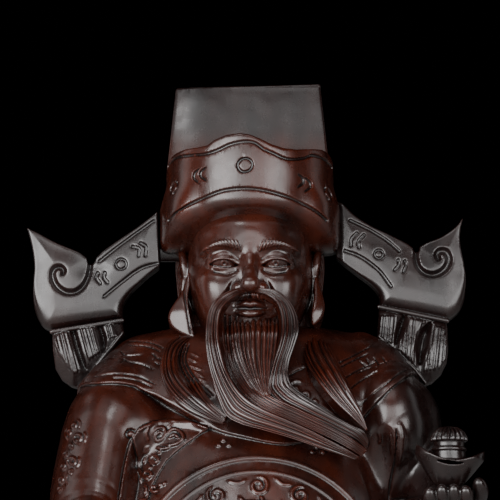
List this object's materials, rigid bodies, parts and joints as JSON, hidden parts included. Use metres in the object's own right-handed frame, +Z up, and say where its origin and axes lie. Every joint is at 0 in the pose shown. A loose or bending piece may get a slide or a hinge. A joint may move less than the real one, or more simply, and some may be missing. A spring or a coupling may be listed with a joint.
{
  "type": "carved caishen figure",
  "caption": "Standing wealth-god figure in an official's winged cap, holding a boat-shaped ingot, carved with its low oval base from dark hardwood.",
  "frame": {"origin": "on the flat underside of the oval base, below the middle of the figure", "axes": "+Z up, the figure faces -Y, its left hand with the ingot is on +X"},
  "size_m": [0.2129, 0.1363, 0.4],
  "materials": {
    "dark_wood": "dark red-brown rosewood or blackwood, hand-rubbed wax polish, satin gloss with fine straight grain"
  },
  "bodies": {
    "root": {"caishen_figure": "dark_wood"}
  },
  "joints": []
}
